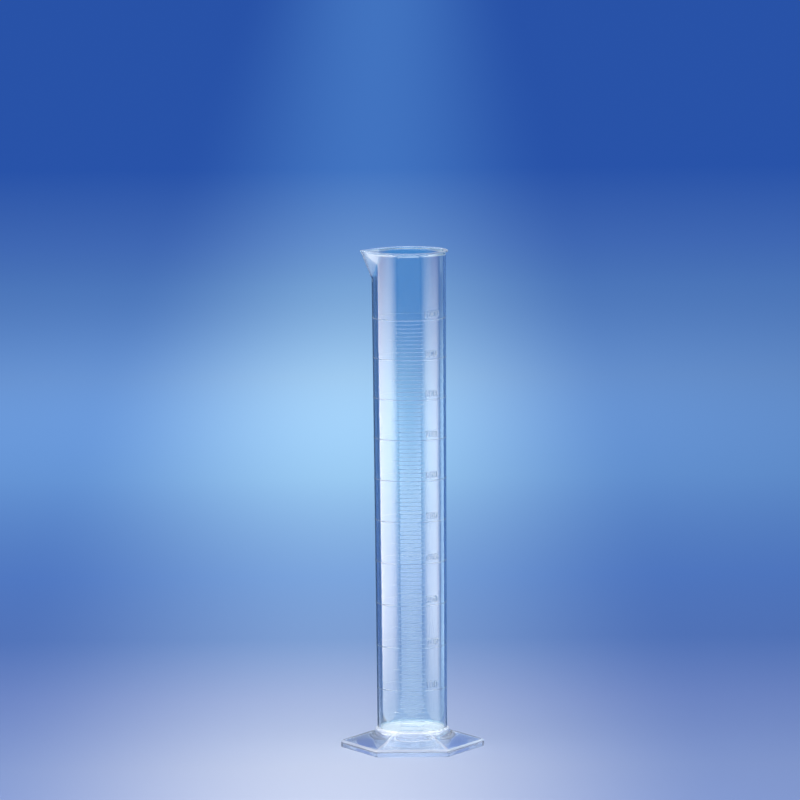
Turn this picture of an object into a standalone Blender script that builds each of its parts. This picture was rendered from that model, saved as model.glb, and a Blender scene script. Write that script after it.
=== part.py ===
"""Graduated cylinder, 1000 ml, tall form: a tapered clear tube bonded into a hollow hexagonal foot.

The origin is on the tube's axis, on the surface that the foot stands on. +Z is up the tube, the pouring lip
points to -X, and the scale faces -Y.
"""

import math

import bmesh
import bpy
from mathutils import Matrix

MM = 0.001

# Barrel
HEIGHT = 440 * MM
RIM_RADIUS = 32.6 * MM  # outside of the tube at the rim, without the bead
BASE_RADIUS = 30.6 * MM  # outside of the tube where it would meet the table
WALL = 2.0 * MM
FLOOR_TOP = 15.5 * MM
FLOOR_THICKNESS = 2.2 * MM
FLOOR_FILLET = 3.0 * MM
SKIRT_BOTTOM = 2.5 * MM  # the tube runs on below its floor, into the foot

# Rim bead and pouring lip
BEAD_PROUD = 2.0 * MM
BEAD_HEIGHT = 2.2 * MM
RIM_ROUNDING = 0.6 * MM
LIP_REACH = 9.6 * MM
LIP_HEIGHT = 24.5 * MM
LIP_ROUNDING = 0.05  # radians: how softly the lip's two sides meet
LIP_BEAD_SHARE = 0.2  # how much of the rim bead is left at the tip of the lip
LIP_BEAD_ANGLE = 0.8  # radians from the tip at which the bead is whole

# Foot
ACROSS_FLATS = 110 * MM
SIDE_HEIGHT = 6.0 * MM
RIDGE_HEIGHT = 15.6 * MM  # where a ridge of the roof meets the tube
SHELL = 2.4 * MM
EDGE_ROUNDING = 1.2 * MM
SOCKET_RADIUS = 31.5 * MM
COLLAR_RADIUS = 33.6 * MM
COLLAR_LAND = 32.6 * MM  # outer edge of the collar's flat top
COLLAR_TOP = 16.6 * MM
COLLAR_BOTTOM = 3.0 * MM
COLLAR_FILLET = 2.4 * MM

# Base joint
JOINT_GAP = 0.12 * MM
JOINT_BEAD = 1.5 * MM

# Ring marks
MARK_STEP = 100  # ml
MARK_COUNT = 10
MARK_WIDTH = 0.9 * MM
MARK_CREST = 0.5 * MM
MARK_RELIEF = 0.45 * MM
MARK_GAP = 0.1 * MM

SEGMENTS = 60  # facets round each turned piece; all have the same, so faces in a joint are parallel
LIP_LEVELS = 5
ROUNDING_STEPS = 3
MERGE = 0.00001
CLEAR = 2.0 * MM  # how far a cutter runs past what it cuts

LIP_BOTTOM = HEIGHT - LIP_HEIGHT
TAPER = (RIM_RADIUS - BASE_RADIUS) / HEIGHT


def outer_radius(height):
    return BASE_RADIUS + TAPER * height


def inner_radius(height):
    return outer_radius(height) - WALL


def fill_height(millilitres):
    """Height of the liquid's surface: the bore is a slightly open cone standing on the barrel's floor."""
    floor_radius = inner_radius(FLOOR_TOP)
    volume = millilitres * 1e-6
    surface_radius = (floor_radius**3 + 3 * TAPER * volume / math.pi) ** (1 / 3)
    return FLOOR_TOP + (surface_radius - floor_radius) / TAPER


# Scene and materials


def clear_scene():
    for obj in list(bpy.data.objects):
        bpy.data.objects.remove(obj)
    bpy.context.scene.unit_settings.scale_length = 1.0


def new_collection(name):
    collection = bpy.data.collections.new(name)
    bpy.context.scene.collection.children.link(collection)
    return collection


def clear_plastic(name, colour, roughness, transmission):
    material = bpy.data.materials.new(name)
    material.use_nodes = True
    shader = material.node_tree.nodes["Principled BSDF"]
    shader.inputs["Base Color"].default_value = (*colour, 1.0)
    shader.inputs["Roughness"].default_value = roughness
    shader.inputs["Metallic"].default_value = 0.0
    shader.inputs["IOR"].default_value = 1.57
    shader.inputs["Transmission Weight"].default_value = transmission
    return material


def add_object(name, bm, collection, material=None):
    mesh = bpy.data.meshes.new(name)
    bm.to_mesh(mesh)
    bm.free()
    mesh.shade_smooth()
    mesh.set_sharp_from_angle(angle=math.radians(30))
    obj = bpy.data.objects.new(name, mesh)
    collection.objects.link(obj)
    if material:
        mesh.materials.append(material)
    return obj


def as_helper(obj):
    """A cutter or joining shape: it is used by Boolean modifiers and isn't part of the object."""
    obj.hide_render = True
    obj.display_type = "WIRE"
    return obj


def turned(name, profile, collection, material=None):
    """A closed profile of (radius, height) points, outer side first and downwards, turned about +Z."""
    bm = bmesh.new()
    points = [bm.verts.new((radius, 0, height)) for radius, height in profile]
    for start, end in zip(points, points[1:] + points[:1]):
        bm.edges.new((start, end))
    obj = add_object(name, bm, collection, material)
    screw = obj.modifiers.new("Turn", "SCREW")
    screw.axis = "Z"
    screw.angle = math.tau
    screw.steps = SEGMENTS
    screw.render_steps = SEGMENTS
    screw.use_merge_vertices = True
    screw.merge_threshold = MERGE
    screw.use_smooth_shade = True
    return obj


def arc(centre, radius, start, end, steps):
    """Points of an arc in the (radius, height) plane, its angles in degrees from the outward direction."""
    points = []
    for step in range(steps + 1):
        angle = math.radians(start + (end - start) * step / steps)
        points.append((centre[0] + radius * math.cos(angle), centre[1] + radius * math.sin(angle)))
    return points


# Barrel


def lip_reach(height):
    return LIP_REACH * min(max((height - LIP_BOTTOM) / LIP_HEIGHT, 0.0), 1.0)


def wall_distance(radius, height, angle):
    """Distance of the wall from the axis. Two flat sides, tangent to the round wall, meet at the lip."""
    half_angle = math.acos(radius / (radius + lip_reach(height))) + LIP_ROUNDING
    past_side = half_angle - math.hypot(angle, LIP_ROUNDING)
    return radius / math.cos(max(past_side, 0.0))


def bead_proud(share, angle):
    fade = max(1 - (angle / LIP_BEAD_ANGLE) ** 2, 0.0) ** 2
    return share * BEAD_PROUD * (1 - (1 - LIP_BEAD_SHARE) * fade)


def ring(bm, radius, height, bead_share=0.0):
    """One level of the barrel's surface, as vertices that start at the tip of the lip."""
    verts = []
    for segment in range(SEGMENTS):
        turn = math.tau * segment / SEGMENTS
        from_tip = min(turn, math.tau - turn)
        distance = wall_distance(radius, height, from_tip) + bead_proud(bead_share, from_tip)
        verts.append(bm.verts.new((-distance * math.cos(turn), -distance * math.sin(turn), height)))
    return verts


def lip_heights():
    """Levels up the lip, closer together low down, where its width changes fastest."""
    rise = HEIGHT - BEAD_HEIGHT - LIP_BOTTOM
    return [LIP_BOTTOM + rise * (level / LIP_LEVELS) ** 1.6 for level in range(LIP_LEVELS + 1)]


def bead_levels():
    """(height, share of the bead) up the outside of the rim: a flared shoulder, then a rounded edge."""
    levels = [(HEIGHT - BEAD_HEIGHT * drop, share) for drop, share in ((0.75, 0.6), (0.55, 1.0))]
    for step in range(ROUNDING_STEPS + 1):
        turn = math.pi / 2 * step / ROUNDING_STEPS
        inward = RIM_ROUNDING * (1 - math.cos(turn))
        levels.append((HEIGHT - RIM_ROUNDING * (1 - math.sin(turn)), 1 - inward / BEAD_PROUD))
    return levels


def barrel_levels(bm):
    """The levels in order: under the floor, down the skirt, up the outside, over the rim, down the bore."""
    under_floor = FLOOR_TOP - FLOOR_THICKNESS
    skirt_inside = inner_radius(SKIRT_BOTTOM)
    levels = [
        ring(bm, skirt_inside, under_floor),
        ring(bm, skirt_inside, SKIRT_BOTTOM),
        ring(bm, outer_radius(SKIRT_BOTTOM), SKIRT_BOTTOM),
    ]
    levels += [ring(bm, outer_radius(height), height) for height in lip_heights()]
    levels += [ring(bm, outer_radius(height), height, share) for height, share in bead_levels()]
    levels.append(ring(bm, inner_radius(HEIGHT) + RIM_ROUNDING, HEIGHT))
    levels.append(ring(bm, inner_radius(HEIGHT), HEIGHT - RIM_ROUNDING))
    levels += [ring(bm, inner_radius(height), height) for height in reversed(lip_heights())]
    corner = (inner_radius(FLOOR_TOP) - FLOOR_FILLET, FLOOR_TOP + FLOOR_FILLET)
    fillet = arc(corner, FLOOR_FILLET, 0, -90, ROUNDING_STEPS)
    levels += [ring(bm, radius, height) for radius, height in fillet]
    return levels


def bridge(bm, lower, upper):
    for here in range(SEGMENTS):
        following = (here + 1) % SEGMENTS
        bm.faces.new((lower[here], lower[following], upper[following], upper[here]))


def make_barrel(collection):
    bm = bmesh.new()
    levels = barrel_levels(bm)
    for lower, upper in zip(levels, levels[1:]):
        bridge(bm, lower, upper)
    bm.faces.new(reversed(levels[0]))
    bm.faces.new(levels[-1])
    material = clear_plastic("barrel_plastic", (0.93, 0.96, 0.99), 0.03, 0.95)
    return add_object("barrel", bm, collection, material)


# Foot


def hexagon_solid(apothem, bottom, side_top, roof_apothem, roof_top):
    """A hexagonal prism with a sloping roof, corners to -X and +X."""
    corner = apothem / math.cos(math.pi / 6)
    depth = side_top - bottom
    bm = bmesh.new()
    bmesh.ops.create_cone(
        bm,
        cap_ends=True,
        segments=6,
        radius1=corner,
        radius2=corner,
        depth=depth,
        matrix=Matrix.Translation((0, 0, bottom + depth / 2)) @ Matrix.Rotation(math.pi / 2, 4, "Z"),
    )
    top_face = max(bm.faces, key=lambda face: face.calc_center_median().z)
    raised = bmesh.ops.extrude_face_region(bm, geom=[top_face])["geom"]
    bmesh.ops.delete(bm, geom=[top_face], context="FACES_ONLY")
    verts = [item for item in raised if isinstance(item, bmesh.types.BMVert)]
    shrink = roof_apothem / apothem
    bmesh.ops.scale(bm, vec=(shrink, shrink, 1), verts=verts)
    bmesh.ops.translate(bm, vec=(0, 0, roof_top - side_top), verts=verts)
    return bm


def roof_measures():
    """(slope, apothem of the roof's top edge): each ridge meets the tube at RIDGE_HEIGHT."""
    apothem = ACROSS_FLATS / 2
    top_apothem = BASE_RADIUS * math.cos(math.pi / 6)
    return (RIDGE_HEIGHT - SIDE_HEIGHT) / (apothem - top_apothem), top_apothem


def make_hollow(cutters):
    """The space under the foot's shell, SHELL inside its side and its roof."""
    slope, top_apothem = roof_measures()
    drop = SHELL / math.cos(math.atan(slope))
    apothem = ACROSS_FLATS / 2 - SHELL
    side_top = SIDE_HEIGHT + SHELL * slope - drop
    bm = hexagon_solid(apothem, -CLEAR, side_top, top_apothem, RIDGE_HEIGHT - drop)
    return as_helper(add_object("hollow_cutter", bm, cutters))


def make_collar(cutters):
    """The socket's wall, with a fillet down on to the roof and a thicker root under it."""
    fillet_centre = (COLLAR_LAND + COLLAR_FILLET, COLLAR_TOP)
    root = (COLLAR_LAND + COLLAR_FILLET, COLLAR_TOP - 2 * COLLAR_FILLET)
    profile = arc(fillet_centre, COLLAR_FILLET, 180, 270, 2 * ROUNDING_STEPS)
    profile += [
        root,
        (COLLAR_RADIUS, root[1] - 2 * COLLAR_FILLET),
        (COLLAR_RADIUS, COLLAR_BOTTOM),
        (SOCKET_RADIUS - CLEAR, COLLAR_BOTTOM),
        (SOCKET_RADIUS - CLEAR, COLLAR_TOP),
    ]
    return as_helper(turned("collar_ring", profile, cutters))


def make_socket(cutters):
    bm = bmesh.new()
    bmesh.ops.create_cone(
        bm,
        cap_ends=True,
        segments=SEGMENTS,
        radius1=SOCKET_RADIUS,
        radius2=SOCKET_RADIUS,
        depth=COLLAR_TOP + 2 * CLEAR,
        matrix=Matrix.Translation((0, 0, COLLAR_TOP / 2)) @ Matrix.Rotation(math.pi / 2, 4, "Z"),
    )
    return as_helper(add_object("socket_cutter", bm, cutters))


def add_boolean(obj, name, operation, other):
    modifier = obj.modifiers.new(name, "BOOLEAN")
    modifier.operation = operation
    modifier.object = other
    modifier.solver = "EXACT"


def make_foot(collection, cutters):
    top_apothem = roof_measures()[1]
    bm = hexagon_solid(ACROSS_FLATS / 2, 0.0, SIDE_HEIGHT, top_apothem, RIDGE_HEIGHT)
    material = clear_plastic("foot_plastic", (0.92, 0.95, 0.99), 0.04, 0.95)
    foot = add_object("foot", bm, collection, material)
    bevel = foot.modifiers.new("Rounded edges", "BEVEL")
    bevel.width = EDGE_ROUNDING
    bevel.segments = 2
    bevel.limit_method = "ANGLE"
    bevel.angle_limit = math.radians(30)
    add_boolean(foot, "Hollow", "DIFFERENCE", make_hollow(cutters))
    add_boolean(foot, "Collar", "UNION", make_collar(cutters))
    add_boolean(foot, "Socket", "DIFFERENCE", make_socket(cutters))
    return foot


# Base joint and ring marks


def make_base_joint(collection):
    """A film of cement round the tube's lower end, with a concave bead where it stands on the collar."""
    inside = outer_radius(COLLAR_TOP + JOINT_BEAD) + JOINT_GAP
    outside = SOCKET_RADIUS - JOINT_GAP
    land = COLLAR_TOP + JOINT_GAP
    profile = arc((inside + JOINT_BEAD, land + JOINT_BEAD), JOINT_BEAD, 180, 270, ROUNDING_STEPS)
    profile += [(outside, land), (outside, COLLAR_BOTTOM), (inside, COLLAR_BOTTOM)]
    material = clear_plastic("joint_cement", (0.95, 0.97, 1.0), 0.08, 0.9)
    return turned("base_joint", profile, collection, material)


def make_ring_mark(millilitres, collection, material):
    height = fill_height(millilitres)
    foot_low = height - MARK_WIDTH / 2
    foot_high = height + MARK_WIDTH / 2
    crest = outer_radius(height) + MARK_RELIEF
    profile = [
        (crest, height + MARK_CREST / 2),
        (crest, height - MARK_CREST / 2),
        (outer_radius(foot_low) + MARK_GAP, foot_low),
        (outer_radius(foot_high) + MARK_GAP, foot_high),
    ]
    return turned(f"ring_mark_{millilitres}ml", profile, collection, material)


def main():
    clear_scene()
    parts = new_collection("graduated_cylinder")
    cutters = new_collection("cutters")
    make_barrel(parts)
    make_foot(parts, cutters)
    make_base_joint(parts)
    mark_material = clear_plastic("mark_plastic", (0.88, 0.92, 0.97), 0.12, 0.9)
    for mark in range(1, MARK_COUNT + 1):
        make_ring_mark(mark * MARK_STEP, parts, mark_material)


main()
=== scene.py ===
"""Looks for the graduated cylinder: clear moulded plastic, its raised scale, and a plain pale studio.

Lengths are in metres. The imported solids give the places: the barrel's height, the foot's size and the ring
marks' heights are read from them, and every visible piece is a finer surface of the same shape.
"""

import math

import bmesh
import bpy
from mathutils import Matrix, Vector


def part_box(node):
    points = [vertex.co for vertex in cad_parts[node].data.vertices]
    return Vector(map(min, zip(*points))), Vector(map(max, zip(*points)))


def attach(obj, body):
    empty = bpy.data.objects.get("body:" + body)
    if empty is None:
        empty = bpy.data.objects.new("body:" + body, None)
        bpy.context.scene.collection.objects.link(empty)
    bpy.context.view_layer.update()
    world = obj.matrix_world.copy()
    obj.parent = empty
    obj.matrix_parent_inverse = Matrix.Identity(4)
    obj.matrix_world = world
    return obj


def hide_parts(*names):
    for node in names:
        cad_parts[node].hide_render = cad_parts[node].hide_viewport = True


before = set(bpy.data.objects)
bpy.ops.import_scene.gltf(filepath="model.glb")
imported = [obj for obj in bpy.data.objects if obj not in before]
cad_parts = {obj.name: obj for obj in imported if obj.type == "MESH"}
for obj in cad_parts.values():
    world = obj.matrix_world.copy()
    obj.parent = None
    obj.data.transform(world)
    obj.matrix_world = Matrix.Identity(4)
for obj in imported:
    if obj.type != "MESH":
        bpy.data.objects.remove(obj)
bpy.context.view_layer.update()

MM = 0.001

# Read from the frame
MARK_STEP = 100
MARK_COUNT = 10
MARK_NODES = [f"ring_mark_{MARK_STEP * step}ml" for step in range(1, MARK_COUNT + 1)]
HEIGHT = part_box("barrel")[1].z
SKIRT_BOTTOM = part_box("barrel")[0].z
COLLAR_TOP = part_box("foot")[1].z
COLLAR_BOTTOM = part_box("base_joint")[0].z
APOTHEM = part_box("foot")[1].y

# The same as in part.py
MARK_RELIEF = 0.45 * MM
WALL = 2.0 * MM
FLOOR_TOP = 15.5 * MM
FLOOR_THICKNESS = 2.2 * MM
FLOOR_FILLET = 3.0 * MM
BEAD_PROUD = 2.0 * MM
BEAD_HEIGHT = 2.2 * MM
RIM_ROUNDING = 0.6 * MM
LIP_REACH = 9.6 * MM
LIP_HEIGHT = 24.5 * MM
LIP_ROUNDING = 0.05
LIP_BEAD_SHARE = 0.2
LIP_BEAD_ANGLE = 0.8
SIDE_HEIGHT = 6.0 * MM
RIDGE_HEIGHT = 15.6 * MM
SHELL = 2.4 * MM
SOCKET_RADIUS = 31.5 * MM
COLLAR_RADIUS = 33.6 * MM
COLLAR_LAND = 32.6 * MM
COLLAR_FILLET = 2.4 * MM
JOINT_GAP = 0.12 * MM
JOINT_BEAD = 1.5 * MM

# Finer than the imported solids
BARREL_COLUMNS = 240
TURNED_COLUMNS = 192
SECTOR_COLUMNS = 34  # of the foot, in each of its six sectors
ROOF_STEPS = 8
CORNER_ROUNDING = 0.05  # of the hexagon's apothem
MERGE_DISTANCE = 0.002 * MM

# Small roundings
SKIRT_FILLET = 1.5 * MM  # between the floor's underside and the skirt
SKIRT_ROUNDING = 0.4 * MM
REST_EDGE = 0.5 * MM
SIDE_EDGE = 2.0 * MM  # between the foot's side and its roof
SIDE_EDGE_DROP = 0.35 * SIDE_EDGE
SIDE_FILLET = 1.5 * MM  # inside the foot, between its side and its roof
COLLAR_EDGE = 0.5 * MM
COLLAR_ROOT = 2.5 * MM  # inside the foot, between its roof and its collar
SOCKET_EDGE = 0.2 * MM
SMALL_EDGE = 0.3 * MM

# Where the foot's plastic is milky white, a painted highlight, measured in from its edges
SIDE_HIGHLIGHT_BAND = 2.4 * MM
RIDGE_HIGHLIGHT_BAND = 0.9 * MM
COLLAR_HIGHLIGHT_BAND = 1.2 * MM
EDGE_LEVEL = 0.65 * SIDE_HEIGHT  # above which the side's edge and the ridges are milky white: painted highlight

# Shares of the bore's radius, at which the barrel's floor has its rings
FLOOR_SHARES = (0.05, 0.3, 0.6, 0.85)

# Relief
EMBED = 0.06 * MM  # how deep the relief stands in the barrel's wall
MARK_WIDTH = 0.9 * MM
BACK_SHARE = 0.4  # of a ring mark's width and relief, round the back
CREST_FULLNESS = 0.7  # below 1, a ridge is fuller than a half circle
BAR_END_SHARE = 0.35  # of a short line's relief, at its two ends

# The scale, in degrees round from the front towards the numerals
MARKS_END = 20.5
SHORT_START = -20.5
HALF_START = -31.0
NUMERALS_START = 25.0
NUMERAL_HEIGHT = 6.2 * MM
NUMERAL_LIFT = 2.4 * MM
DIVISIONS = 10
MINOR_WIDTH = 0.62 * MM
MINOR_RELIEF = 0.30 * MM
CAPITAL_SHARE = 0.7  # of a font's size, that a numeral is high
LETTER_BEVEL = 0.09 * MM
LETTER_OFFSET = -0.02 * MM  # thins the strokes by what the bevel adds, in part

LIP_BOTTOM = HEIGHT - LIP_HEIGHT


def mark_height(node):
    low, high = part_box(node)
    return (low.z + high.z) / 2


def tube_line():
    """(radius at height 0, radius gained per metre) of the tube's outside, from its end marks."""
    heights = [mark_height(MARK_NODES[0]), mark_height(MARK_NODES[-1])]
    radii = [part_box(node)[1].x - MARK_RELIEF for node in (MARK_NODES[0], MARK_NODES[-1])]
    taper = (radii[1] - radii[0]) / (heights[1] - heights[0])
    return radii[0] - taper * heights[0], taper


BASE_RADIUS, TAPER = tube_line()


def outer_radius(height):
    return BASE_RADIUS + TAPER * height


def inner_radius(height):
    return outer_radius(height) - WALL


def fill_height(millilitres):
    """Height of the liquid's surface in the slightly open cone that stands on the barrel's floor."""
    floor_radius = inner_radius(FLOOR_TOP)
    surface_radius = (floor_radius**3 + 3 * TAPER * millilitres * 1e-6 / math.pi) ** (1 / 3)
    return FLOOR_TOP + (surface_radius - floor_radius) / TAPER


# Surfaces made of rings of points


def arc(centre, radius, start, end, steps):
    """Points of an arc in the (radius, height) plane, its angles in degrees from the outward direction."""
    angles = [math.radians(start + (end - start) * step / steps) for step in range(steps + 1)]
    return [(centre[0] + radius * math.cos(a), centre[1] + radius * math.sin(a)) for a in angles]


def add_ring(bm, points):
    return [bm.verts.new(point) for point in points]


def bridge(bm, rings, wrap=False):
    """Faces between each ring and the next, and from the last to the first where wrap is set."""
    count = len(rings[0])
    for lower, upper in zip(rings, rings[1:] + rings[:1] if wrap else rings[1:]):
        for here in range(count):
            following = (here + 1) % count
            bm.faces.new((lower[here], lower[following], upper[following], upper[here]))


def close_with_centre(bm, ring):
    """A fan of triangles from a ring to a point at its middle."""
    middle = sum((vert.co for vert in ring), Vector()) / len(ring)
    centre = bm.verts.new(middle)
    for here, vert in enumerate(ring):
        bm.faces.new((vert, ring[(here + 1) % len(ring)], centre))


def finish_piece(name, bm, material, nodes=(), sharp=40, outward=False):
    """A piece of the object from a closed mesh.

    sharp is the angle in degrees from which an edge is sharp, and outward says that the mesh's faces point
    outward already.
    """
    bmesh.ops.remove_doubles(bm, verts=bm.verts, dist=MERGE_DISTANCE)
    if not outward:
        bmesh.ops.recalc_face_normals(bm, faces=bm.faces)
    mesh = bpy.data.meshes.new(name)
    bm.to_mesh(mesh)
    bm.free()
    mesh.shade_smooth()
    mesh.set_sharp_from_angle(angle=math.radians(sharp))
    mesh.materials.append(material)
    piece = bpy.data.objects.new(name, mesh)
    piece.visible_shadow = False  # clear plastic hardly shades what is under it
    bpy.context.scene.collection.objects.link(piece)
    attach(piece, "root")
    if nodes:
        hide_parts(*nodes)
    return piece


def turned(bm, profile, columns):
    """A closed profile of (radius, height) points turned about +Z."""
    rings = []
    for column in range(columns):
        turn = math.tau * column / columns
        rings.append(add_ring(bm, [(r * math.cos(turn), r * math.sin(turn), z) for r, z in profile]))
    bridge(bm, rings, wrap=True)


# Materials

PLASTIC_IOR = 1.57
HANDLED_SCALE = 55.0  # of the noise in the roughness, per metre
WAVE_SCALE = 38.0
SCUFF_SCALE = 900.0
SCUFF_STRETCH = (1, 1, 0.25)
SCUFF_SHARE = 0.05  # of the waves' height
SCUFF_STRENGTH = 0.25


def principled(material):
    return material.node_tree.nodes["Principled BSDF"]


class Nodes:
    """Short calls for adding and joining shader nodes."""

    def __init__(self, tree):
        self.tree = tree

    def add(self, kind, **settings):
        node = self.tree.nodes.new(kind)
        for name, value in settings.items():
            setattr(node, name, value)
        return node

    def join(self, source, target):
        self.tree.links.new(source, target)

    def noise(self, coordinates, scale, detail, stretch=(1, 1, 1)):
        mapping = self.add("ShaderNodeMapping")
        mapping.inputs["Scale"].default_value = stretch
        self.join(coordinates, mapping.inputs["Vector"])
        noise = self.add("ShaderNodeTexNoise")
        noise.inputs["Scale"].default_value = scale
        noise.inputs["Detail"].default_value = detail
        self.join(mapping.outputs["Vector"], noise.inputs["Vector"])
        return noise.outputs["Fac"]

    def mapped(self, value, low, high, start=0.35, end=0.7):
        """A value's range from start to end, by default a noise's middle range, spread over low to high."""
        node = self.add("ShaderNodeMapRange")
        node.inputs["From Min"].default_value = start
        node.inputs["From Max"].default_value = end
        node.inputs["To Min"].default_value = low
        node.inputs["To Max"].default_value = high
        self.join(value, node.inputs["Value"])
        return node.outputs["Result"]

    def bump(self, height, strength, distance, under=None):
        node = self.add("ShaderNodeBump")
        node.inputs["Strength"].default_value = strength
        node.inputs["Distance"].default_value = distance
        self.join(height, node.inputs["Height"])
        if under:
            self.join(under, node.inputs["Normal"])
        return node.outputs["Normal"]


def ramp(nodes, value, low, high):
    """0 below low, 1 above high, and smooth between them; the other way round where low is above high."""
    node = nodes.add("ShaderNodeMapRange", interpolation_type="SMOOTHSTEP")
    node.inputs["From Min"].default_value = low
    node.inputs["From Max"].default_value = high
    nodes.join(value, node.inputs["Value"])
    return node.outputs["Result"]


def product(nodes, *values):
    result = values[0]
    for value in values[1:]:
        node = nodes.add("ShaderNodeMath", operation="MULTIPLY")
        nodes.join(result, node.inputs[0])
        nodes.join(value, node.inputs[1])
        result = node.outputs[0]
    return result


def clear_plastic(name, tint, clarity, roughness, ripple, stretch=(1, 1, 1)):
    """Moulded plastic.

    clarity is the share that isn't milky, roughness its range from polished to handled, and ripple the height
    of the slow waves that the mould leaves.
    """
    material = bpy.data.materials.new(name)
    material.use_nodes = True
    nodes = Nodes(material.node_tree)
    shader = principled(material)
    shader.inputs["Base Color"].default_value = (*tint, 1.0)
    shader.inputs["Transmission Weight"].default_value = clarity
    shader.inputs["IOR"].default_value = PLASTIC_IOR
    place = nodes.add("ShaderNodeTexCoord").outputs["Object"]
    handled = nodes.noise(place, HANDLED_SCALE, 4.0, stretch)
    nodes.join(nodes.mapped(handled, *roughness), shader.inputs["Roughness"])
    waves = nodes.noise(place, WAVE_SCALE, 1.0, stretch)
    scuffs = nodes.noise(place, SCUFF_SCALE, 3.0, SCUFF_STRETCH)
    slow = nodes.bump(waves, 1.0, ripple)
    nodes.join(nodes.bump(scuffs, SCUFF_STRENGTH, ripple * SCUFF_SHARE, slow), shader.inputs["Normal"])
    return material


# tint, clarity, roughness, ripple
barrel_material = clear_plastic(
    "clear_barrel", (0.76, 0.89, 0.96), 0.985, (0.0, 0.045), 0.012 * MM, stretch=(1, 1, 0.3)
)
# Whitish, milky floor of the barrel. It is partly a painted reflection that makes the disc bright.
whitish_floor_material = clear_plastic("whitish_floor", (1.0, 0.98, 0.98), 0.35, (0.15, 0.35), 0.25 * MM)
# Milky light blue round the rim's top: painted highlight for the rim's bright lines.
rim_highlight_material = clear_plastic("painted_rim_highlight", (0.50, 0.73, 1.0), 0.65, (0.08, 0.20), 0.10 * MM)
# Milky whitish lip: painted highlight, for the light caught in its thin sides and edge.
lip_highlight_material = clear_plastic("painted_lip_highlight", (0.76, 0.86, 0.95), 0.84, (0.08, 0.20), 0.20 * MM)
foot_material = clear_plastic("clear_foot", (0.74, 0.82, 0.93), 0.92, (0.02, 0.10), 0.20 * MM)
# Milky white on the foot's edges, ridges and collar top: painted highlight, where the clear edges catch the
# lights.
foot_edge_highlight_material = clear_plastic("painted_foot_edge_highlight", (0.80, 0.88, 1.0), 0.45, (0.10, 0.25), 0.20 * MM)
joint_material = clear_plastic("joint_cement", (0.85, 0.92, 1.0), 0.35, (0.15, 0.35), 0.25 * MM)
# The scale's tint is a darker blue than the barrel's: painted shade, because the clear marks read darker by
# refraction.
scale_material = clear_plastic("raised_scale", (0.62, 0.76, 0.92), 0.88, (0.04, 0.10), 0.01 * MM)


# Barrel

LIP_START = 0.8 * MM  # reach from which the lip's sides are milky: painted highlight
LIP_MARGIN = 0.03  # radians between the milky, painted-highlight faces and where the flat sides meet the tube
LIP_CROWDING = 1.5  # above 1, the lip's lowest levels are the closest together
SHOULDER_TOP = HEIGHT - 0.55 * BEAD_HEIGHT
FILLET_START = -9  # degrees, because the bore's lowest level is already where the floor's fillet starts
# Where the barrel's floor is whitish and milky, which is partly painted reflected light
WHITISH_MARGIN = 0.1 * MM
WHITISH_TOP = FLOOR_TOP + 0.5 * FLOOR_FILLET


def lip_reach(height):
    return LIP_REACH * min(max((height - LIP_BOTTOM) / LIP_HEIGHT, 0.0), 1.0)


def wall_distance(radius, height, angle):
    """Distance of the wall from the axis. Two flat sides, tangent to the tube, meet at the lip's tip."""
    half_angle = math.acos(radius / (radius + lip_reach(height))) + LIP_ROUNDING
    past_side = half_angle - math.hypot(angle, LIP_ROUNDING)
    return radius / math.cos(max(past_side, 0.0))


def bead_proud(share, angle):
    fade = max(1 - (angle / LIP_BEAD_ANGLE) ** 2, 0.0) ** 2
    return share * BEAD_PROUD * (1 - (1 - LIP_BEAD_SHARE) * fade)


def barrel_ring(bm, radius, height, bead_share=0.0):
    points = []
    for column in range(BARREL_COLUMNS):
        turn = math.tau * column / BARREL_COLUMNS
        from_tip = min(turn, math.tau - turn)
        distance = wall_distance(radius, height, from_tip) + bead_proud(bead_share, from_tip)
        points.append((-distance * math.cos(turn), -distance * math.sin(turn), height))
    return add_ring(bm, points)


def tube_heights():
    """Levels up the plain tube, then closer ones up the lip."""
    tube_steps = 20
    lip_steps = 18
    start = FLOOR_TOP + FLOOR_FILLET
    top = HEIGHT - BEAD_HEIGHT
    tube = [start + (LIP_BOTTOM - start) * step / tube_steps for step in range(tube_steps)]
    shares = [(step / lip_steps) ** LIP_CROWDING for step in range(lip_steps + 1)]
    return tube + [LIP_BOTTOM + (top - LIP_BOTTOM) * share for share in shares]


def bead_levels():
    """(height, share of the bead) up the outside of the rim: a smooth shoulder, then a rounded edge."""
    shoulder_steps = 6
    edge_steps = 6
    low = HEIGHT - BEAD_HEIGHT
    levels = []
    for step in range(1, shoulder_steps + 1):
        share = 0.5 - 0.5 * math.cos(math.pi * step / shoulder_steps)
        levels.append((low + (SHOULDER_TOP - low) * step / shoulder_steps, share))
    for step in range(edge_steps + 1):
        turn = math.pi / 2 * step / edge_steps
        inward = RIM_ROUNDING * (1 - math.cos(turn))
        levels.append((HEIGHT - RIM_ROUNDING * (1 - math.sin(turn)), 1 - inward / BEAD_PROUD))
    return levels


def on_lip(point):
    """Whether a point of the wall is on the pouring lip's flat sides."""
    reach = lip_reach(point.z)
    if reach < LIP_START:
        return False
    radius = outer_radius(point.z)
    return math.atan2(abs(point.y), -point.x) < math.acos(radius / (radius + reach)) - LIP_MARGIN


# The rim and the lip take painted-highlight materials. The floor takes the whitish one, which is partly
# painted reflection.
def barrel_material_at(point):
    if point.z > HEIGHT - RIM_ROUNDING:
        return rim_highlight_material
    if on_lip(point):
        return lip_highlight_material
    within_skirt = math.hypot(point.x, point.y) < inner_radius(SKIRT_BOTTOM) - WHITISH_MARGIN
    if within_skirt and point.z < WHITISH_TOP:
        return whitish_floor_material
    return barrel_material


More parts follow.
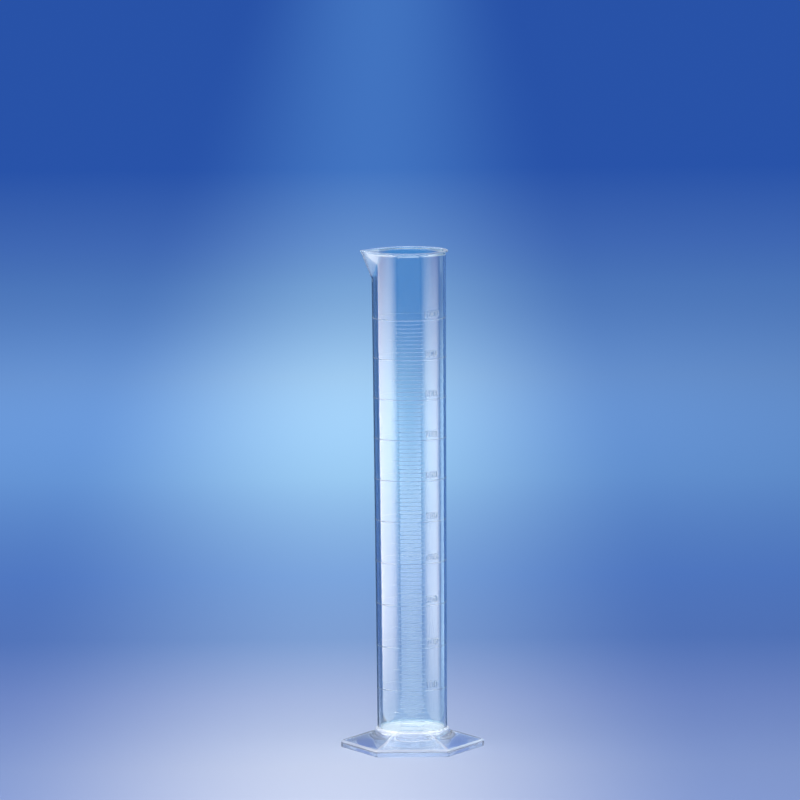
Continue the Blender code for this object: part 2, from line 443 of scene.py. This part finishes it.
def skirt_profile():
    """(radius, height) from the middle of the floor's underside, down inside the skirt and round its edge."""
    under_floor = FLOOR_TOP - FLOOR_THICKNESS
    inside = inner_radius(SKIRT_BOTTOM)
    outside = outer_radius(SKIRT_BOTTOM)
    edge = SKIRT_BOTTOM + SKIRT_ROUNDING
    profile = [(inside * share, under_floor) for share in FLOOR_SHARES]
    profile += arc((inside - SKIRT_FILLET, under_floor - SKIRT_FILLET), SKIRT_FILLET, 90, 0, 5)
    profile += arc((inside + SKIRT_ROUNDING, edge), SKIRT_ROUNDING, 180, 270, 3)
    return profile + arc((outside - SKIRT_ROUNDING, edge), SKIRT_ROUNDING, 270, 360, 3)


def bore_profile():
    """(radius, height) from the rim's inner edge, down the bore and over the floor to its middle."""
    edge = (inner_radius(HEIGHT) + RIM_ROUNDING, HEIGHT - RIM_ROUNDING)
    corner = (inner_radius(FLOOR_TOP) - FLOOR_FILLET, FLOOR_TOP + FLOOR_FILLET)
    profile = arc(edge, RIM_ROUNDING, 90, 180, 5)
    profile += [(inner_radius(height), height) for height in reversed(tube_heights())]
    profile += arc(corner, FLOOR_FILLET, FILLET_START, -90, 8)
    return profile + [(corner[0] * share, FLOOR_TOP) for share in reversed(FLOOR_SHARES)]


def make_barrel():
    bm = bmesh.new()
    rings = [barrel_ring(bm, radius, height) for radius, height in skirt_profile()]
    rings += [barrel_ring(bm, outer_radius(height), height) for height in tube_heights()]
    rings += [barrel_ring(bm, outer_radius(height), height, share) for height, share in bead_levels()]
    rings += [barrel_ring(bm, radius, height) for radius, height in bore_profile()]
    bridge(bm, rings)
    close_with_centre(bm, rings[0])
    close_with_centre(bm, rings[-1])
    materials = [barrel_material, whitish_floor_material, rim_highlight_material, lip_highlight_material]
    for face in bm.faces:
        face.material_index = materials.index(barrel_material_at(face.calc_center_median()))
    barrel = finish_piece("clear_barrel", bm, barrel_material, ["barrel"])
    for material in materials[1:]:
        barrel.data.materials.append(material)


# Foot


def sector_angles():
    """Angles round the foot, closer together at its six corners, with one corner at -X and one at +X."""
    angles = []
    for sector in range(6):
        middle = math.radians(60 * sector + 30)
        for column in range(SECTOR_COLUMNS):
            share = 2 * column / SECTOR_COLUMNS - 1
            angles.append(middle + math.radians(30) * (share + 0.5 * math.sin(math.pi * share) / math.pi))
    return angles


def hexagon(angle):
    """Distance to the edge of a hexagon of apothem 1 whose corners are rounded."""
    from_flat = abs((angle % math.radians(60)) - math.radians(30))
    corner_centre = (1 - CORNER_ROUNDING) / math.cos(math.radians(30))
    tangent = math.atan((1 - CORNER_ROUNDING) * math.tan(math.radians(30)))
    if from_flat < tangent:
        return 1 / math.cos(from_flat)
    off_corner = math.radians(30) - from_flat
    across = corner_centre * math.sin(off_corner)
    return corner_centre * math.cos(off_corner) + math.sqrt(CORNER_ROUNDING**2 - across**2)


def roof_slope():
    return (RIDGE_HEIGHT - SIDE_HEIGHT) / (APOTHEM - BASE_RADIUS * math.cos(math.pi / 6))


def side_and_edges():
    """(apothem, height) up the foot's outside, from its rest face to the start of its roof."""
    tilt = math.degrees(math.atan(roof_slope()))
    edge_height = SIDE_HEIGHT - SIDE_EDGE * math.tan(math.radians((90 - tilt) / 2)) * 0.5
    points = arc((APOTHEM - REST_EDGE, REST_EDGE), REST_EDGE, -90, 0, 4)
    return points + arc((APOTHEM - SIDE_EDGE, edge_height - SIDE_EDGE_DROP), SIDE_EDGE, 0, 90 - tilt, 9)


def hollow_side():
    """(apothem, height) down the inside of the side wall, from under the roof to the rest face."""
    inside = APOTHEM - SHELL
    tilt = math.degrees(math.atan(roof_slope()))
    under = SIDE_HEIGHT + SHELL * roof_slope() - SHELL / math.cos(math.radians(tilt)) - SMALL_EDGE
    points = arc((inside - SIDE_FILLET, under - SIDE_FILLET), SIDE_FILLET, 90 - tilt, 0, 5)
    return points + arc((inside + SMALL_EDGE, SMALL_EDGE), SMALL_EDGE, 180, 270, 3)


def along(start, end, share):
    """The point at this share of the way between two (radius, height) points."""
    return start[0] + (end[0] - start[0]) * share, start[1] + (end[1] - start[1]) * share


def socket_profile():
    """(radius, height) over the collar's top, down through the socket and round its lower edge."""
    low = COLLAR_BOTTOM + SMALL_EDGE
    profile = arc((COLLAR_LAND - COLLAR_EDGE, COLLAR_TOP - COLLAR_EDGE), COLLAR_EDGE, 0, 90, 3)
    profile += arc((SOCKET_RADIUS + SOCKET_EDGE, COLLAR_TOP - SOCKET_EDGE), SOCKET_EDGE, 90, 180, 3)
    profile += arc((SOCKET_RADIUS + SMALL_EDGE, low), SMALL_EDGE, 180, 270, 3)
    return profile + arc((COLLAR_RADIUS - SMALL_EDGE, low), SMALL_EDGE, 270, 360, 3)


def foot_column(angle):
    """The foot's closed outline in the half plane at this angle: up its outside, over and back down."""
    spread = hexagon(angle)
    fall = roof_slope() / spread
    outline = [(apothem * spread, height) for apothem, height in side_and_edges()]
    start = outline[-1]
    fillet_start = COLLAR_LAND + COLLAR_FILLET * (1 - math.sin(math.atan(fall)))
    end = (fillet_start, start[1] + (start[0] - fillet_start) * fall)
    outline += [along(start, end, step / ROOF_STEPS) for step in range(1, ROOF_STEPS + 1)]
    collar_steps = 6
    for step in range(1, collar_steps + 1):
        turn = math.pi / 2 * step / collar_steps
        radius = fillet_start + (COLLAR_LAND - fillet_start) * math.sin(turn)
        outline.append((radius, end[1] + (COLLAR_TOP - COLLAR_EDGE - end[1]) * (1 - math.cos(turn))))
    outline += socket_profile()
    hollow = [(apothem * spread, height) for apothem, height in hollow_side()]
    root_radius = COLLAR_RADIUS + COLLAR_ROOT
    root = (root_radius, hollow[0][1] + (hollow[0][0] - root_radius) * fall)
    root_centre = (root_radius, root[1] - COLLAR_ROOT)
    outline += arc(root_centre, COLLAR_ROOT, 180, 90 + math.degrees(math.atan(fall)), 5)
    outline += [along(root, hollow[0], step / ROOF_STEPS) for step in range(1, ROOF_STEPS)]
    return outline + hollow


def on_foot_edge(point):
    """Whether a point of the foot is on its upper edge, one of its six ridges or its collar's top."""
    angle = math.atan2(point.y, point.x)
    radius = math.hypot(point.x, point.y)
    from_ridge = radius * math.sin(math.radians(30) - abs(angle % math.radians(60) - math.radians(30)))
    if radius / hexagon(angle) > APOTHEM - SIDE_HIGHLIGHT_BAND or from_ridge < RIDGE_HIGHLIGHT_BAND:
        return point.z > EDGE_LEVEL
    return point.z > COLLAR_TOP - COLLAR_HIGHLIGHT_BAND


def make_foot():
    bm = bmesh.new()
    rings = []
    for angle in sector_angles():
        column = foot_column(angle)
        rings.append(add_ring(bm, [(r * math.cos(angle), r * math.sin(angle), z) for r, z in column]))
    bridge(bm, rings, wrap=True)
    for face in bm.faces:
        # The foot's edges, ridges and collar top take the milky material: painted highlight.
        face.material_index = int(on_foot_edge(face.calc_center_median()))
    foot = finish_piece("clear_foot", bm, foot_material, ["foot"], sharp=50)
    foot.data.materials.append(foot_edge_highlight_material)


def make_base_joint():
    inside = outer_radius(COLLAR_TOP + JOINT_BEAD) + JOINT_GAP
    outside = SOCKET_RADIUS - JOINT_GAP
    land = COLLAR_TOP + JOINT_GAP
    profile = arc((inside + JOINT_BEAD, land + JOINT_BEAD), JOINT_BEAD, 180, 270, 8)
    profile += [(outside, land), (outside, COLLAR_BOTTOM), (inside, COLLAR_BOTTOM)]
    bm = bmesh.new()
    turned(bm, profile, TURNED_COLUMNS)
    finish_piece("cement_joint", bm, joint_material, ["base_joint"])


# Raised scale


def crest_profile(height, width, relief):
    """A rounded ridge on the tube's wall, as (radius, height) points, with its base sunk into the wall."""
    steps = 8
    points = []
    for step in range(steps + 1):
        turn = math.pi * step / steps
        rise = relief * math.sin(turn) ** CREST_FULLNESS
        level = height - width / 2 * math.cos(turn)
        points.append((outer_radius(level) + rise, level))
    points.append((outer_radius(height + width / 2) - EMBED, height + width / 2))
    points.append((outer_radius(height - width / 2) - EMBED, height - width / 2))
    return points


def make_ring_mark(node):
    """A ring round the tube, lower and narrower round the back."""
    bm = bmesh.new()
    rings = []
    for column in range(TURNED_COLUMNS):
        turn = math.tau * column / TURNED_COLUMNS
        share = 1 - (1 - BACK_SHARE) * min(max(0.5 - 1.5 * math.cos(turn), 0.0), 1.0)
        profile = crest_profile(mark_height(node), share * MARK_WIDTH, share * MARK_RELIEF)
        rings.append(add_ring(bm, [(r * math.sin(turn), -r * math.cos(turn), z) for r, z in profile]))
    bridge(bm, rings, wrap=True)
    finish_piece(f"{node}_relief", bm, scale_material, [node])


def add_bar(bm, height, start, end):
    """A short raised line round the front of the tube, between two angles in degrees."""
    steps = 20
    rings = []
    for step in range(steps + 1):
        share = step / steps
        turn = math.radians(start + (end - start) * share)
        ends = min(share, 1 - share) * steps
        relief = MINOR_RELIEF * (BAR_END_SHARE if ends < 0.5 else 1.0)
        profile = crest_profile(height, MINOR_WIDTH, relief)
        rings.append(add_ring(bm, [(r * math.sin(turn), -r * math.cos(turn), z) for r, z in profile]))
    bridge(bm, rings)
    bm.faces.new(rings[0])
    bm.faces.new(rings[-1])


def make_minor_marks():
    """The lines between the ring marks: one each 10 ml, with the one each 50 ml longer."""
    short = bmesh.new()
    half = bmesh.new()
    for division in range(1, MARK_COUNT * DIVISIONS):
        if division % DIVISIONS == 0:
            continue
        height = fill_height(MARK_STEP * division / DIVISIONS)
        if division % DIVISIONS == DIVISIONS // 2:
            add_bar(half, height, HALF_START, MARKS_END)
        else:
            add_bar(short, height, SHORT_START, MARKS_END)
    finish_piece("ten_ml_marks", short, scale_material)
    finish_piece("fifty_ml_marks", half, scale_material)


def lettering_mesh(text, height):
    """Raised characters as a mesh, read from +Z, their left end at x = 0 and their feet at y = 0."""
    curve = bpy.data.curves.new("lettering", "FONT")
    curve.body = text
    curve.size = height / CAPITAL_SHARE
    curve.extrude = MARK_RELIEF / 2
    curve.bevel_depth = LETTER_BEVEL
    curve.bevel_resolution = 2
    curve.offset = LETTER_OFFSET
    curve.resolution_u = 6
    helper = bpy.data.objects.new("lettering", curve)
    bpy.context.scene.collection.objects.link(helper)
    graph = bpy.context.evaluated_depsgraph_get()
    mesh = bpy.data.meshes.new_from_object(helper.evaluated_get(graph))
    bpy.data.objects.remove(helper)
    bpy.data.curves.remove(curve)
    return mesh


def make_lettering(name, text, height, base, start):
    """Characters that follow the tube's wall from the angle start, in degrees."""
    mesh = lettering_mesh(text, height)
    bm = bmesh.new()
    bm.from_mesh(mesh)
    bpy.data.meshes.remove(mesh)
    left = min(vert.co.x for vert in bm.verts)
    low = min(vert.co.z for vert in bm.verts)
    for vert in bm.verts:
        level = base + vert.co.y
        radius = outer_radius(level) - EMBED + (vert.co.z - low)
        turn = math.radians(start) + (vert.co.x - left) / outer_radius(level)
        vert.co = (radius * math.sin(turn), -radius * math.cos(turn), level)
    finish_piece(name, bm, scale_material, sharp=30, outward=True)


def make_scale():
    for step, node in enumerate(MARK_NODES, 1):
        make_ring_mark(node)
        value = str(MARK_STEP * step)
        base = mark_height(node) + NUMERAL_LIFT
        make_lettering(f"numeral_{value}", value, NUMERAL_HEIGHT, base, NUMERALS_START)
    make_minor_marks()


# Studio

# (metres behind the object's axis, colour)
FLOOR_COLOURS = (
    (-0.1, (0.60, 0.67, 0.785)),
    (0.25, (0.47, 0.57, 0.775)),
    (0.6, (0.29, 0.46, 0.745)),
    (1.0, (0.29, 0.51, 0.84)),
    (1.75, (0.39, 0.66, 0.88)),
    (2.7, (0.42, 0.66, 0.86)),
    (3.8, (0.35, 0.64, 0.97)),
    (4.4, (0.28, 0.55, 0.98)),
    (5.7, (0.13, 0.37, 0.90)),
)
FLOOR_HALF_SIZE = 60
FLOOR_HEIGHT = -0.02 * MM
POOL_X = -0.066  # middle of the floor's light strip, and how far out from it the floor darkens
POOL_REACH = 0.34
POOL_SIDE_SHARE = (0.40, 0.50, 0.74)
POOL_FRONT = (-1.2, -0.3)  # the sides' darkening comes in between these places on Y

SIDE_X = 0.16  # how far out the soft boxes and the fill stand
SCREEN_FOOT = 1 * MM
SCREEN_TOP = 0.6
CARD_TOP = 0.48
CARD_GAP = 1 * MM
FLOOR_SHEET_HEIGHT = 0.5 * MM
FOOT_SHEET_HEIGHT = -0.01 * MM
GEL_Y = 0.150
GEL_HALF_WIDTH = 0.036

CAMERA_PLACE = (0, -5.8, 1.033)
CAMERA_AIM = (-0.0085, 0, 0.308)
CAMERA_ROLL = -0.48  # degrees


def plain_material(name, colour):
    material = bpy.data.materials.new(name)
    material.use_nodes = True
    shader = principled(material)
    shader.inputs["Base Color"].default_value = (*colour, 1.0)
    shader.inputs["Roughness"].default_value = 1.0
    shader.inputs["Specular IOR Level"].default_value = 0.0
    return material


def glowing_material(name, colour, strength=1.0):
    material = plain_material(name, (0.0, 0.0, 0.0))
    shader = principled(material)
    shader.inputs["Emission Color"].default_value = (*colour, 1.0)
    shader.inputs["Emission Strength"].default_value = strength
    return material


def add_emission(nodes, colour):
    emission = nodes.add("ShaderNodeEmission")
    emission.inputs["Color"].default_value = (*colour, 1.0)
    return emission


def show_shader(material, shader):
    """Makes this shader node the material's surface, in place of the one it came with."""
    nodes = material.node_tree.nodes
    nodes.remove(principled(material))
    material.node_tree.links.new(shader.outputs[0], nodes["Material Output"].inputs["Surface"])


def axes_of(nodes, kind):
    """X, Y and Z of the shaded point: in metres for Object, and from 0 to 1 across the mesh for Generated."""
    axes = nodes.add("ShaderNodeSeparateXYZ")
    nodes.join(nodes.add("ShaderNodeTexCoord").outputs[kind], axes.inputs[0])
    return axes.outputs


def fades(nodes, *ends):
    """A ramp for each (axis, where it is 0, where it is 1), the places as shares of the screen."""
    axes = axes_of(nodes, "Generated")
    return [ramp(nodes, axes[axis], dark, full) for axis, dark, full in ends]


def floor_colour(nodes, distance):
    """The colour for each distance behind the object."""
    start, first_colour = FLOOR_COLOURS[0]
    end = FLOOR_COLOURS[-1][0]
    colours = nodes.add("ShaderNodeValToRGB")
    stops = colours.color_ramp.elements
    stops.remove(stops[1])
    stops[0].color = (*first_colour, 1.0)
    for place, colour in FLOOR_COLOURS[1:]:
        stop = stops.new((place - start) / (end - start))
        stop.color = (*colour, 1.0)
    nodes.join(nodes.mapped(distance, 0, 1, start, end), colours.inputs[0])
    return colours.outputs["Color"]


def floor_material():
    """Pale round the object, bluer behind it and to its sides, with a light pool and a deep blue distance."""
    material = plain_material("pale_floor", FLOOR_COLOURS[0][1])
    nodes = Nodes(material.node_tree)
    axes = axes_of(nodes, "Object")
    across = nodes.add("ShaderNodeMath", operation="SUBTRACT")
    across.inputs[1].default_value = POOL_X
    nodes.join(axes["X"], across.inputs[0])
    off_middle = nodes.add("ShaderNodeMath", operation="ABSOLUTE")
    nodes.join(across.outputs[0], off_middle.inputs[0])
    sides = ramp(nodes, off_middle.outputs[0], 0.0, POOL_REACH)
    not_far_in_front = ramp(nodes, axes["Y"], *POOL_FRONT)
    darker = nodes.add("ShaderNodeMix", data_type="RGBA", blend_type="MULTIPLY")
    nodes.join(product(nodes, sides, not_far_in_front), darker.inputs["Factor"])
    nodes.join(floor_colour(nodes, axes["Y"]), darker.inputs[6])
    darker.inputs[7].default_value = (*POOL_SIDE_SHARE, 1.0)
    nodes.join(darker.outputs[2], principled(material).inputs["Base Color"])
    return material


def make_floor():
    bm = bmesh.new()
    bmesh.ops.create_grid(bm, x_segments=1, y_segments=1, size=FLOOR_HALF_SIZE)
    mesh = bpy.data.meshes.new("floor")
    bm.to_mesh(mesh)
    bm.free()
    mesh.materials.append(floor_material())
    floor = bpy.data.objects.new("floor", mesh)
    floor.location.z = FLOOR_HEIGHT
    bpy.context.scene.collection.objects.link(floor)


def make_area_light(name, place, target, size, power, colour):
    light = bpy.data.lights.new(name, "AREA")
    light.shape = "RECTANGLE"
    light.size, light.size_y = size
    light.energy = power
    light.color = colour
    lamp = bpy.data.objects.new(name, light)
    lamp.location = place
    lamp.rotation_euler = (Vector(target) - Vector(place)).to_track_quat("-Z", "Y").to_euler()
    lamp.visible_camera = False
    bpy.context.scene.collection.objects.link(lamp)


def make_screen(name, corners, material):
    """A flat studio screen, which is seen only in the object."""
    bm = bmesh.new()
    bm.faces.new([bm.verts.new(corner) for corner in corners])
    mesh = bpy.data.meshes.new(name)
    bm.to_mesh(mesh)
    bm.free()
    mesh.materials.append(material)
    panel = bpy.data.objects.new(name, mesh)
    bpy.context.scene.collection.objects.link(panel)
    panel.visible_camera = False
    panel.visible_diffuse = False
    panel.visible_shadow = False
    return panel


def make_sheet(name, plan, height, material):
    """A level screen."""
    return make_screen(name, [(*place, height) for place in plan], material)


def make_panel(name, start, end, low, high, material):
    """An upright screen over the line between two points of the plan."""
    return make_screen(name, [(*start, low), (*end, low), (*end, high), (*start, high)], material)


def glow_material(name, colour, radiance, back_end, top_end):
    """A soft box's cloth, faded to its edges: to nothing at its front, and at top_end of its height."""
    material = bpy.data.materials.new(name)
    material.use_nodes = True
    nodes = Nodes(material.node_tree)
    shares = fades(nodes, ("Y", 0.0, 0.62), ("Y", 1.02, back_end), ("Z", -0.12, 0.22), ("Z", top_end, 0.42))
    power = nodes.add("ShaderNodeValue")
    power.outputs[0].default_value = radiance
    emission = add_emission(nodes, colour)
    nodes.join(product(nodes, power.outputs[0], *shares), emission.inputs["Strength"])
    show_shader(material, emission)
    return material


def make_side(side, glow, dark, card, painted_foot_shade, flag_end, flag_top):
    """The screens of one side, -1 for left and 1 for right.

    A soft box gives the tube its bright band. Behind the tube's edge stands a dark flag, up to flag_top and
    in to flag_end, with a pale card above it and a dark sheet on the floor before it. A blue sheet under the
    foot is painted shade, seen through the foot's clear roof.
    """
    box = make_panel(glow.name, (side * SIDE_X, -0.25), (side * SIDE_X, 0.04), SCREEN_FOOT, SCREEN_TOP, glow)
    box.visible_transmission = False
    ends = [(side * 0.108, 0.130), flag_end]
    make_panel(f"{glow.name}_flag", *ends, SCREEN_FOOT, flag_top, dark)
    make_panel(f"{glow.name}_card", *ends, flag_top + CARD_GAP, CARD_TOP, card)
    near = [(side * 0.020, 0.066), (side * 0.060, 0.062)]
    make_sheet(f"{glow.name}_floor_flag", ends + near, FLOOR_SHEET_HEIGHT, dark)
    # Blue sheets under the foot's front facets: painted shade of the floor under the foot.
    under_foot = [(0.031, -0.018), (0.046, -0.018), (0.050, 0.030), (0.036, 0.036)]
    foot_plan = [(side * x, y) for x, y in under_foot]
    make_sheet(f"{glow.name}_foot_shade_sheet", foot_plan, FOOT_SHEET_HEIGHT, painted_foot_shade)


def make_sides():
    left_glow = glow_material("left_glow", (0.98, 0.91, 0.78), 9.2, 0.97, 0.92)
    right_glow = glow_material("right_glow", (0.94, 0.94, 0.82), 8.7, 0.75, 0.84)
    left_dark = plain_material("left_dark_blue", (0.055, 0.11, 0.21))
    right_dark = plain_material("right_dark_blue", (0.12, 0.26, 0.52))
    # Blue for the sheets under the foot: painted shade.
    painted_foot_shade = plain_material("painted_foot_shade", (0.20, 0.29, 0.57))
    card = glowing_material("white_card", (0.80, 0.92, 1.0), 1.1)
    make_side(-1, left_glow, left_dark, card, painted_foot_shade, (-0.052, 0.148), 0.401)
    make_side(1, right_glow, right_dark, card, painted_foot_shade, (0.068, 0.143), 0.419)


def make_right_fill():
    """A pale blue panel, which the tube mirrors at its right edge, dimmer towards its top and its foot."""
    material = glowing_material("blue_fill", (0.60, 0.88, 1.0))
    nodes = Nodes(material.node_tree)
    share = product(nodes, *fades(nodes, ("Z", 0.66, 0.45), ("Z", -0.02, 0.12)))
    nodes.join(nodes.mapped(share, 0.7, 3.5, 0, 1), principled(material).inputs["Emission Strength"])
    fill = make_panel("right_fill", (SIDE_X, 0.041), (SIDE_X, 0.115), SCREEN_FOOT, SCREEN_TOP, material)
    fill.visible_transmission = False


def make_centre_filter():
    """A blue gel behind the upper tube, densest at its top and clear at its lower edge and its sides."""
    material = bpy.data.materials.new("blue_gel")
    material.use_nodes = True
    nodes = Nodes(material.node_tree)
    share = product(nodes, *fades(nodes, ("Z", 0.12, 0.62), ("X", 0.0, 0.3), ("X", 1.0, 0.7)))
    mix = nodes.add("ShaderNodeMixShader")
    nodes.join(nodes.mapped(share, 0.0, 0.9, 0, 1), mix.inputs[0])
    nodes.join(nodes.add("ShaderNodeBsdfTransparent").outputs[0], mix.inputs[1])
    nodes.join(add_emission(nodes, (0.03, 0.24, 0.62)).outputs[0], mix.inputs[2])
    show_shader(material, mix)
    gel = make_panel("blue_gel", (-GEL_HALF_WIDTH, GEL_Y), (GEL_HALF_WIDTH, GEL_Y), 0.24, 0.50, material)
    gel.visible_glossy = False


def make_front_card():
    """A pale sheet on the floor in front, which the lower tube mirrors."""
    material = glowing_material("front_card", (0.92, 1.0, 0.92))
    nodes = Nodes(material.node_tree)
    share = product(nodes, *fades(nodes, ("Y", 0.15, 0.6), ("Y", 1.25, 0.65)))
    nodes.join(nodes.mapped(share, 0.5, 4.6, 0, 1), principled(material).inputs["Emission Strength"])
    plan = [(-1.4, -2.8), (1.4, -2.8), (1.4, -0.2), (-1.4, -0.2)]
    card = make_sheet("front_card", plan, SCREEN_FOOT, material)
    card.visible_transmission = False


def make_world():
    world = bpy.data.worlds.new("pale_room")
    world.use_nodes = True
    background = world.node_tree.nodes["Background"]
    background.inputs["Color"].default_value = (0.76, 0.85, 1.08, 1.0)
    background.inputs["Strength"].default_value = 0.54
    bpy.context.scene.world = world


def make_camera():
    camera = bpy.data.cameras.new("camera")
    camera.sensor_width = 36
    camera.lens = 300
    camera.clip_end = 200
    viewer = bpy.data.objects.new("camera", camera)
    viewer.location = CAMERA_PLACE
    look = (Vector(CAMERA_AIM) - viewer.location).to_track_quat("-Z", "Y")
    roll = Matrix.Rotation(math.radians(CAMERA_ROLL), 4, "Z").to_quaternion()
    viewer.rotation_mode = "QUATERNION"
    viewer.rotation_quaternion = look @ roll
    bpy.context.scene.collection.objects.link(viewer)
    bpy.context.scene.camera = viewer


def make_studio():
    bpy.context.scene.view_settings.view_transform = "Standard"
    make_floor()
    make_world()
    make_area_light("front_overhead", (-0.5, -1.0, 1.3), (-0.5, -0.9, 0), (3.0, 1.8), 26, (1.0, 0.92, 0.93))
    make_area_light("background_pool", (-0.25, 2.3, 1.2), (-0.25, 2.3, 0), (1.1, 1.1), 9.0, (0.96, 1.0, 1.0))
    make_sides()
    make_right_fill()
    make_centre_filter()
    make_front_card()
    make_camera()


make_barrel()
make_foot()
make_base_joint()
make_scale()
make_studio()
